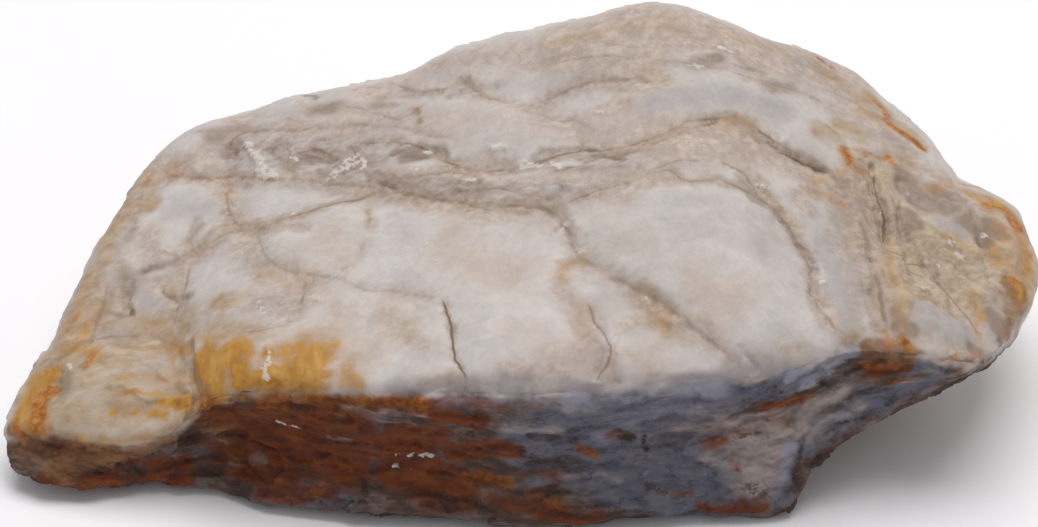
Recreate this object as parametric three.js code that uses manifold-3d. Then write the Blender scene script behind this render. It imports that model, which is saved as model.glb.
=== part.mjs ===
// A hand specimen of massive gypsum: one broken block of white nodular gypsum, all one stone.
// It rests on a small flat spot. Its top slopes down to a rounded brow in front, and shallow seams part
// it into pillow-like nodules. The front face under the brow is bedded and a little hollow, a low lobe
// stands out at the left end, and the right end hangs clear of the ground as a blunt knob. Back, ends and
// underside are fractures.
//
// Millimetres, +Z up, +X along the block, +Y from front to back. The origin is the middle of the bottom.

import * as THREE from "three";
import { ImprovedNoise } from "three/addons/math/ImprovedNoise.js";
import { mergeVertices } from "three/addons/utils/BufferGeometryUtils.js";
import Module from "manifold-3d";

// -------------------------------------------------------------------------------------------------
// Driving dimensions
// -------------------------------------------------------------------------------------------------

// Cross-sections from the left end to the right one. Each gives four places as [y, z]:
//   foot   where the front face meets the underside
//   brow   the rounded edge between front face and top
//   crest  the back edge of the top
//   heel   where the back meets the underside
// and three lengths:
//   sole   the height of the underside's middle
//   hollow how far the front face is undercut
//   swell  how far the top bulges above the straight line from brow to crest
const SECTIONS = [
  //      x      foot          brow          crest         heel        sole  hollow  swell
  section(-85,   [5.4, 1.3],   [9, 9.4],     [18.5, 11.5], [22, 5],    2.5,  0,      0.6),
  section(-81,   [2.4, 1.2],   [8, 11],      [31, 13.4],   [35, 5],    1.5,  0,      1),
  section(-74,   [3.2, 1.5],   [6.5, 11.5],  [59.5, 18.4], [62, 6],    1,    0,      2.2),
  section(-66,   [5.6, 1.9],   [5, 11.5],    [80, 22.6],   [80, 6],    0.5,  0,      3),
  section(-58,   [4.6, 1.6],   [4.5, 13.5],  [82.5, 25.8], [86, 6],    0.2,  1,      3),
  section(-51,   [3.8, 1.6],   [3.8, 20.5],  [85.5, 27.2], [87, 6],    -0.2, 3,      2),
  section(-40,   [-0.1, 2.1],  [3.2, 24.2],  [86, 30.8],   [86, 5.5],  -0.9, 3.5,    2),
  section(-25,   [-3.2, 2.1],  [-0.5, 25.7], [84, 35.2],   [84, 5.5],  -1.2, 2.5,    2.6),
  section(-8,    [-5, 1.9],    [-2.2, 26.5], [84.5, 43.2], [82, 5.5],  -1.4, 2,      3.4),
  section(10,    [-4.3, 2.2],  [-2.8, 28],   [80, 48.5],   [80, 5.5],  -1.4, 2,      4.4),
  section(24,    [-3, 2],      [-1.4, 28.5], [81, 52.6],   [78, 5.5],  -1,   2,      4.6),
  section(38,    [-0.7, 1.4],  [-0.3, 29],   [79, 50.2],   [76, 6],    0,    1.5,    4),
  section(44,    [1.2, 1.8],   [2.5, 29.2],  [79, 47.2],   [75, 7],    1,    0.8,    3.7),
  section(48,    [4, 8.4],     [4.5, 29.2],  [79.5, 45.8], [74.5, 8],  3,    0.5,    3.5),
  section(54,    [5.6, 11.6],  [7.5, 29.8],  [81, 42.8],   [74, 9],    5.5,  0.3,    3),
  section(62,    [8.6, 13.8],  [7.3, 28.6],  [79.5, 39],   [72, 11.5], 8.5,  0,      2.6),
  section(70,    [13.6, 15.2], [5.8, 27.3],  [73.8, 34],   [68, 13],   11,   0,      2.2),
  section(75,    [16.6, 16.7], [7.2, 26.2],  [69, 31.2],   [63, 14],   12.5, 0,      1.6),
  section(79.5,  [19.4, 17.2], [11.5, 25.8], [61, 27],     [58, 15],   13.5, 0,      1.2),
  section(84,    [25, 18],     [18.5, 24.8], [60.8, 25.2], [56, 16],   14.5, 0,      1),
  section(87.5,  [33, 17.4],   [28, 23.4],   [59.6, 23.6], [55, 17],   16,   0,      0.8),
  section(90,    [41, 17.6],   [38.5, 21.8], [57.5, 22.8], [52, 18],   17.2, 0,      0.5),
];
const LEFT_TIP = new THREE.Vector3(-87.5, 11.5, 8);
const RIGHT_TIP = new THREE.Vector3(91.4, 48, 20);

// The ring's points between those corners. share is how far each lies from one corner to the next,
// and out is the part of the section's hollow, swell or back bulge that it gets.
const FRONT_POINTS = [{ share: 0.32, out: 1 }, { share: 0.78, out: 0.55 }];
const TOP_POINTS = [{ share: 0.3, out: 0.9 }, { share: 0.55, out: 1 }, { share: 0.8, out: 0.7 }];
const BACK_POINTS = [{ share: 0.25, out: 1 }, { share: 0.65, out: 0.9 }];
const BROW_ROUNDING = { share: 0.07, out: 0.3, height: 0.8 };
const BACK_BULGE = { ofCrestHeight: 0.2, most: 9 };
const SOLE_SHARE = 0.45;

// Mesh rows between one ring point and the next, and the length of a mesh column.
const ROWS = [4, 5, 3, 3, 8, 9, 9, 8, 5, 6, 5, 6, 7];
const COLUMN_STEP = 3.2;

// Lumps of the broken surface: their size across and their height.
const LUMPS = [
  { size: 34, height: 2.2 },
  { size: 15, height: 1.1 },
  { size: 7.5, height: 0.45 },
];

// Seams between nodules: shallow grooves along a line, given as [x, y] seen from above on the top, and as
// [x, z] seen from the front on the front face.
const TOP_SEAMS = [
  {
    depth: 1.5,
    width: 2.2,
    line: [[-66, 69], [-55, 63], [-39, 55], [-24, 47], [-7, 37], [5, 31], [10, 21], [24, 10], [36, 1]],
  },
  { depth: 1.2, width: 2.2, line: [[-31, 64], [-16, 55], [0, 44], [21, 44], [34, 50], [46, 47], [54, 45]] },
  { depth: 1.2, width: 2, line: [[7, 31], [19, 36], [33, 36], [43, 32], [49, 23], [50, 12], [54, 7]] },
  { depth: 1, width: 2.4, line: [[-24, 80], [-9, 70], [3, 58], [14, 60], [24, 59]] },
  { depth: 1, width: 2, line: [[3, 58], [11, 49], [10, 43]] },
  { depth: 1.1, width: 2.2, line: [[-52, 61], [-52, 50], [-46, 43], [-33, 46], [-24, 47]] },
  { depth: 1, width: 2.4, line: [[-47, 43], [-60, 44], [-69, 38], [-70, 30]] },
  { depth: 0.9, width: 2.2, line: [[-47, 43], [-41, 31], [-30, 26], [-13, 18], [-10, 0]] },
  { depth: 1.6, width: 2, line: [[-76, 27], [-64, 27], [-58, 21], [-54, 9]] },
  { depth: 2, width: 2.6, line: [[62, 52], [62, 40], [70, 26], [77, 12]] },
  { depth: 1.4, width: 2.6, line: [[67, 50], [66, 38], [68, 31]] },
  { depth: 1.2, width: 2, line: [[54, 47], [59, 28], [60, 9]] },
];
const FRONT_SEAMS = [
  { depth: 1.6, width: 1.6, line: [[10, 18], [32, 15.5], [42, 20], [58, 25]] },
  { depth: 1.2, width: 1.5, line: [[-50, 15], [-30, 18], [-8, 16]] },
];

// Top seams fade out where the surface turns from this slope (its normal's z) down to that one, and the
// front face's seams and beds fade out in the same way by how far the normal points to the front.
const TOP_FADE = [0.2, 0.6];
const FRONT_FADE = [0.5, 0.8];

// The beds of the front face: their thickness, how far each stands out, and how far the partings wander.
const BEDS = { thickness: 6.5, depth: 0.9, wander: 4, wanderLength: 28 };

// Swellings, and hollows with a negative height, each centred at a point with its radius.
const SWELLINGS = [
  { at: [-68, 13, 15], radius: 12, height: 1.8 }, // the lobe
  { at: [-42, 8, 25], radius: 11, height: 1.6 }, // the shoulder beside it
  { at: [-50, 3, 10], radius: 9, height: -3 }, // the recess under that shoulder
  { at: [-4, 12, 32], radius: 13, height: 1.4 }, // front nodules
  { at: [26, 24, 41], radius: 15, height: 2 },
  { at: [-40, 36, 30], radius: 9, height: 1 },
  { at: [-6, 58, 41], radius: 10, height: 1.2 }, // nodules of the upper top
  { at: [12, 70, 49], radius: 10, height: 1 },
  { at: [44, 62, 45], radius: 11, height: 1.2 },
  { at: [-34, 60, 34], radius: 12, height: -1.8 }, // the crushed trough behind the front nodules
  { at: [-12, 48, 39], radius: 9, height: -1.3 },
  { at: [41, -1, 8], radius: 9, height: 1.6 }, // the buttress at the front's lower corner
  { at: [73, 18, 27], radius: 8, height: 1.6 }, // nodules of the overhanging end
  { at: [85, 46, 24], radius: 10, height: 1.4 },
];

// Flat fracture faces: a point that each passes through and the way it faces.
const FRACTURES = [
  { through: [-40, 89, 12], facing: [-0.22, 0.95, -0.2] },
  { through: [8, 88.5, 22], facing: [0.1, 0.97, -0.24] },
  { through: [58, 83, 20], facing: [0.42, 0.87, -0.26] },
  { through: [0, 82, 7], facing: [0.05, 0.62, -0.78] },
  { through: [-76, 62, 8], facing: [-0.86, 0.42, -0.28] },
  { through: [80, 62, 15], facing: [0.6, 0.55, -0.58] },
  { through: [66, 42, 8.5], facing: [0.41, 0.05, -0.9] },
  { through: [-72, 30, 1.4], facing: [-0.16, -0.03, -0.99] },
];
const FRACTURE_BLOCK = 400; // edge of the cube that takes the stone away, longer than the stone

// -------------------------------------------------------------------------------------------------
// The block's form, lofted through the sections
// -------------------------------------------------------------------------------------------------

function section(x, foot, brow, crest, heel, sole, hollow, swell) {
  return { x, foot, brow, crest, heel, sole, hollow, swell };
}

// The place some share of the way from a to b, moved by dy and dz.
function between([ay, az], [by, bz], share, dy, dz) {
  return [ay + (by - ay) * share + dy, az + (bz - az) * share + dz];
}

// A section's ring of points, from the front foot up, over the top and back under the block.
function ringOf({ foot, brow, crest, heel, sole, hollow, swell }) {
  const bulge = Math.min(BACK_BULGE.most, crest[1] * BACK_BULGE.ofCrestHeight);
  const browRise = swell * BROW_ROUNDING.out + BROW_ROUNDING.height;
  const [soleY] = between(heel, foot, SOLE_SHARE, 0, 0);
  return [
    foot,
    ...FRONT_POINTS.map(({ share, out }) => between(foot, brow, share, hollow * out, 0)),
    brow,
    between(brow, crest, BROW_ROUNDING.share, 0, browRise),
    ...TOP_POINTS.map(({ share, out }) => between(brow, crest, share, 0, swell * out)),
    crest,
    ...BACK_POINTS.map(({ share, out }) => between(crest, heel, share, bulge * out, 0)),
    heel,
    [soleY, sole],
  ];
}

// The curve round a section, and the curve along the block through the same place on every section.
function ringCurve(section) {
  const points = ringOf(section).map(([y, z]) => new THREE.Vector3(section.x, y, z));
  return new THREE.CatmullRomCurve3(points, true, "centripetal");
}
function lengthwiseCurve(rings, place) {
  const points = [LEFT_TIP, ...rings.map((ring) => ring.getPoint(place)), RIGHT_TIP];
  return new THREE.CatmullRomCurve3(points, false, "centripetal");
}

// Even steps round the ring and along the block, both as curve parameters from 0 to 1.
function stepsRound() {
  return ROWS.flatMap((count, i) => Array.from({ length: count }, (_, k) => (i + k / count) / ROWS.length));
}
function stepsAlong() {
  const stops = [LEFT_TIP.x, ...SECTIONS.map((section) => section.x), RIGHT_TIP.x];
  const spans = stops.length - 1;
  const steps = [];
  for (let i = 0; i < spans; i++) {
    const count = Math.max(1, Math.round((stops[i + 1] - stops[i]) / COLUMN_STEP));
    for (let k = 0; k < count; k++) {
      steps.push((i + k / count) / spans);
    }
  }
  return steps.slice(1);
}

// A closed mesh of rows by columns, with one point at each tip.
function loft() {
  const rings = SECTIONS.map(ringCurve);
  const along = stepsAlong();
  const rows = stepsRound().map((place) => {
    const curve = lengthwiseCurve(rings, place);
    return along.map((step) => curve.getPoint(step));
  });
  const points = [LEFT_TIP, RIGHT_TIP, ...rows.flat()];
  const last = along.length - 1;
  const at = (row, column) => 2 + (row % rows.length) * along.length + column;
  const index = [];
  for (let r = 0; r < rows.length; r++) {
    index.push(0, at(r, 0), at(r + 1, 0));
    for (let c = 0; c < last; c++) {
      index.push(...quad(points, at(r, c), at(r, c + 1), at(r + 1, c + 1), at(r + 1, c)));
    }
    index.push(1, at(r + 1, last), at(r, last));
  }
  const geometry = new THREE.BufferGeometry().setFromPoints(points);
  geometry.setIndex(index);
  return geometry;
}

// Two triangles, split along the shorter diagonal.
function quad(points, a, b, c, d) {
  const splitAC = points[a].distanceTo(points[c]) < points[b].distanceTo(points[d]);
  return splitAC ? [a, b, c, a, c, d] : [a, b, d, b, c, d];
}

// -------------------------------------------------------------------------------------------------
// Relief: lumps, seams, beds and swellings, each raising or lowering the surface along its normal
// -------------------------------------------------------------------------------------------------

const perlin = new ImprovedNoise();
const noiseAt = (point, size) => perlin.noise(point.x / size, point.y / size, point.z / size);

function distanceToLine(u, v, line) {
  const place = new THREE.Vector3(u, v, 0);
  const nearest = new THREE.Vector3();
  const distances = line.slice(1).map((end, i) => {
    const piece = new THREE.Line3(new THREE.Vector3(...line[i], 0), new THREE.Vector3(...end, 0));
    return piece.closestPointToPoint(place, true, nearest).distanceTo(place);
  });
  return Math.min(...distances);
}

const lumps = (point) => LUMPS.reduce((sum, { size, height }) => sum + height * noiseAt(point, size), 0);

function seams(u, v, list) {
  const depths = list.map(({ depth, width, line }) => {
    return depth / (1 + (distanceToLine(u, v, line) / width) ** 2);
  });
  return -depths.reduce((sum, depth) => sum + depth, 0);
}

function beds({ x, y, z }) {
  const wander = BEDS.wander * perlin.noise(x / BEDS.wanderLength, y / BEDS.wanderLength, 0.5);
  return BEDS.depth * (Math.abs(Math.sin((Math.PI * (z + wander)) / BEDS.thickness)) - 1);
}

function swellings(point) {
  return SWELLINGS.reduce((sum, { at, radius, height }) => {
    return sum + height * Math.exp(-((point.distanceTo(new THREE.Vector3(...at)) / radius) ** 2));
  }, 0);
}

function relief(point, normal) {
  const faceUp = THREE.MathUtils.smoothstep(normal.z, ...TOP_FADE);
  const faceFront = THREE.MathUtils.smoothstep(-normal.y, ...FRONT_FADE);
  return (
    lumps(point) +
    swellings(point) +
    faceUp * seams(point.x, point.y, TOP_SEAMS) +
    faceFront * (beds(point) + seams(point.x, point.z, FRONT_SEAMS))
  );
}

function roughen(geometry) {
  geometry.computeVertexNormals();
  const { position, normal } = geometry.attributes;
  for (let i = 0; i < position.count; i++) {
    const point = new THREE.Vector3().fromBufferAttribute(position, i);
    const outward = new THREE.Vector3().fromBufferAttribute(normal, i);
    point.addScaledVector(outward, relief(point, outward));
    position.setXYZ(i, point.x, point.y, point.z);
  }
  geometry.deleteAttribute("normal");
  return mergeVertices(geometry);
}

// -------------------------------------------------------------------------------------------------
// Fracture faces and the flat spot, cut away
// -------------------------------------------------------------------------------------------------

const wasm = await Module();
wasm.setup();

function solidOf(geometry) {
  const bare = geometry.clone();
  bare.deleteAttribute("normal");
  bare.deleteAttribute("uv");
  const merged = mergeVertices(bare);
  const vertProperties = new Float32Array(merged.attributes.position.array);
  const triVerts = new Uint32Array(merged.index.array);
  return new wasm.Manifold(new wasm.Mesh({ numProp: 3, vertProperties, triVerts }));
}

// Everything on the far side of a plane, as a block whose near face lies in that plane.
function beyond({ through, facing }) {
  const outward = new THREE.Vector3(...facing).normalize();
  const block = new THREE.BoxGeometry(FRACTURE_BLOCK, FRACTURE_BLOCK, FRACTURE_BLOCK);
  block.translate(0, 0, FRACTURE_BLOCK / 2);
  block.applyQuaternion(new THREE.Quaternion().setFromUnitVectors(new THREE.Vector3(0, 0, 1), outward));
  block.translate(...through);
  return solidOf(block);
}

function broken(geometry) {
  const ground = { through: [0, 0, 0], facing: [0, 0, -1] };
  let stone = solidOf(geometry);
  for (const face of [...FRACTURES, ground]) {
    stone = stone.subtract(beyond(face));
  }
  const mesh = stone.getMesh();
  const result = new THREE.BufferGeometry();
  result.setAttribute("position", new THREE.BufferAttribute(new Float32Array(mesh.vertProperties), 3));
  result.setIndex(Array.from(mesh.triVerts));
  return result;
}

// -------------------------------------------------------------------------------------------------
// The stone
// -------------------------------------------------------------------------------------------------

function gypsumBlock() {
  const geometry = broken(roughen(loft()));
  geometry.computeBoundingBox();
  const middle = geometry.boundingBox.getCenter(new THREE.Vector3());
  geometry.translate(-middle.x, -middle.y, 0);
  geometry.computeVertexNormals();
  const material = new THREE.MeshStandardMaterial({ color: 0xcfc4bc, roughness: 0.6, metalness: 0 });
  const block = new THREE.Mesh(geometry, material);
  block.name = "gypsum_block";
  return block;
}

const group = new THREE.Group();
group.add(gypsumBlock());

export default group;
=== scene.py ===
import itertools
import math

import bpy
import numpy as np
from mathutils import Matrix, Vector
from mathutils.bvhtree import BVHTree


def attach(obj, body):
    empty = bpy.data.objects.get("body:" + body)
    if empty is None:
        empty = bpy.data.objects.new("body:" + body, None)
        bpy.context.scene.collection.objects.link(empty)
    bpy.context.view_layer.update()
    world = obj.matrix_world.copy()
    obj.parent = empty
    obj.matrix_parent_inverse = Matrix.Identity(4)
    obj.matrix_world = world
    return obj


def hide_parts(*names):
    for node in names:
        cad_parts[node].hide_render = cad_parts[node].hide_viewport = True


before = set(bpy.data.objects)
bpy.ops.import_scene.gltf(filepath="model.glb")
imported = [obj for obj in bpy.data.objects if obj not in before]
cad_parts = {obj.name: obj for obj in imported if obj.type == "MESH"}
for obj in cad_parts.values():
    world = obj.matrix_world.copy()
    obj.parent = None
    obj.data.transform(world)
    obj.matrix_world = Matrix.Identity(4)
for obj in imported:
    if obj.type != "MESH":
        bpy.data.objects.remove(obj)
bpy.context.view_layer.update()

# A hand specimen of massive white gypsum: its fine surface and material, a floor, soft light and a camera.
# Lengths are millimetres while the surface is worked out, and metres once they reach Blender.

MM = 0.001

# ---- The photograph's view: places on the stone are named by the pixel at which they are seen ----

IMAGE_WIDTH, IMAGE_HEIGHT = 1038, 527
LENS, SENSOR = 85.0, 36.0
VIEW_ELEVATION = math.radians(35)
VIEW_DISTANCE = 427.0
VIEW_TARGET = np.array([-1.9376, -6.0393, 25.0])
PX = 0.174  # millimetres on the stone for one pixel, at the target's distance

RIGHT = np.array([1.0, 0.0, 0.0])
FORWARD = np.array([0.0, math.cos(VIEW_ELEVATION), -math.sin(VIEW_ELEVATION)])
UP = np.cross(RIGHT, FORWARD)
CAMERA_AT = VIEW_TARGET - VIEW_DISTANCE * FORWARD
FOCAL = IMAGE_WIDTH * LENS / SENSOR


def ray_through(pixel):
    across, down = pixel[0] - IMAGE_WIDTH / 2, pixel[1] - IMAGE_HEIGHT / 2
    direction = FORWARD * FOCAL + RIGHT * across - UP * down
    return direction / np.linalg.norm(direction)


def pixels_of(points):
    """Where each point is seen, as pixel coordinates."""
    away = points - CAMERA_AT
    depth = away @ FORWARD
    x = IMAGE_WIDTH / 2 + FOCAL * (away @ RIGHT) / depth
    y = IMAGE_HEIGHT / 2 - FOCAL * (away @ UP) / depth
    return x, y


# ---- Lines and patches, by the photograph's pixels: a pixel's x and y are written together ----

# Many strokes follow what is seen there. The others were put where a comparison of small areas of the
# photograph and the render showed that the tone was off.

# The rounded edge between the top and the front face, from the lobe on the left to the knob on the right.
BROW = [
    3,440, 13,437, 55,435, 99,445, 135,451, 177,436, 199,411, 207,400, 240,394, 274,390, 309,394, 346,394,
    402,394, 458,393, 499,395, 540,395, 600,392, 657,389, 700,386, 754,380, 792,373, 818,364, 848,347,
    868,346, 909,357, 932,361, 970,370, 990,360, 1010,345, 1030,320
]

# Seams between the nodules, each as (strength, pixels that it passes).
BOLD_SEAMS = [
    (1, 163,175, 185,178, 215,178, 233,177, 262,180, 300,182, 345,186, 380,190, 400,195, 433,200, 480,207,
     533,205, 557,217, 570,233, 579,252),
    (0.7, 566,226, 581,260, 603,273, 640,290, 673,313, 707,337, 743,370),
    (0.9, 827,167, 847,200, 867,253, 880,293, 887,333),
    (0.7, 387,83, 427,93, 467,83, 480,93, 507,103, 533,107, 560,93, 587,83, 620,80, 647,77),
    (0.7, 84,343, 110,338, 150,336, 177,349, 188,367, 199,389),
    (0.7, 253,230, 227,233, 207,243, 173,260, 150,267, 130,287, 123,313),
    (0.6, 190,132, 240,131, 300,130, 370,126, 420,132, 460,140),
]
FINE_SEAMS = [
    (1, 347,143, 400,143, 427,150, 453,163, 480,170, 520,167, 553,157, 580,150, 613,150, 640,143, 667,133,
     693,121, 733,119, 760,130, 787,150, 827,170),
    (0.9, 233,177, 227,200, 233,220, 253,230, 287,217, 333,205, 363,200, 383,190),
    (0.5, 533,107, 553,120, 580,123, 581,150),
    (0.9, 560,207, 600,190, 633,180, 667,170, 686,181, 716,180, 741,188, 757,195, 772,208, 782,216, 797,241,
     812,256, 810,287, 827,320, 843,340), (0.4, 367,203, 369,227, 360,253, 340,273),
    (0.5, 583,262, 565,265, 560,280), (0.8, 899,188, 901,216, 909,233),
    (0.5, 655,60, 690,62, 740,75, 790,88, 830,105), (0.7, 226,158, 230,144, 242,134, 262,130),
    (0.6, 276,140, 290,152, 286,168, 300,178), (0.7, 302,152, 320,148, 336,156),
    (0.9, 345,145, 356,153, 362,166, 373,179, 386,188, 402,190),
    (0.7, 385,175, 402,180, 424,176, 452,172, 482,177), (0.9, 400,196, 440,200, 470,206, 496,212),
    (0.7, 440,178, 470,188, 502,190, 540,196, 562,206), (0.5, 342,106, 372,112, 402,119, 418,111),
    (0.4, 286,118, 302,125, 332,128), (0.6, 458,76, 470,88, 484,97), (0.5, 690,40, 732,53, 772,70),
    (0.4, 600,42, 642,47, 682,44), (0.5, 522,70, 562,62, 602,56, 642,59), (0.8, 862,176, 872,210, 880,246),
    (0.8, 897,204, 903,225, 911,243), (0.6, 922,240, 930,262, 941,286), (0.5, 844,180, 851,198, 848,216),
    (0.8, 768,204, 790,233, 806,264, 812,292, 832,326, 850,345), (0.6, 958,194, 972,210, 979,238),
    (0.5, 152,176, 141,200, 136,226), (0.8, 650,147, 672,137, 694,127, 718,122),
    (0.9, 764,140, 786,154, 806,163, 822,166), (0.5, 202,222, 191,240, 200,256),
    (0.6, 107,290, 99,316, 90,341), (0.7, 190,262, 186,286, 178,310, 172,335),
    (0.6, 306,278, 303,300, 290,320, 262,330, 230,335), (0.5, 618,352, 612,370, 622,384),
    (0.45, 253,230, 267,257, 287,270, 310,273, 340,280, 373,290, 413,293, 443,298),
]
CRACKS = [
    (1, 443,299, 450,317, 453,342, 454,360, 463,373, 463,383, 459,396),
    (0.6, 586,301, 593,322, 603,332, 611,352, 603,368, 596,380), (0.9, 873,173, 879,203, 884,223, 884,244),
    (0.5, 884,244, 897,260, 927,267, 953,300, 977,333), (0.3, 655,169, 678,160, 700,160),
    (0.4, 722,162, 744,172, 760,196), (0.8, 778,152, 798,160, 816,168, 828,172),
]

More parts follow.
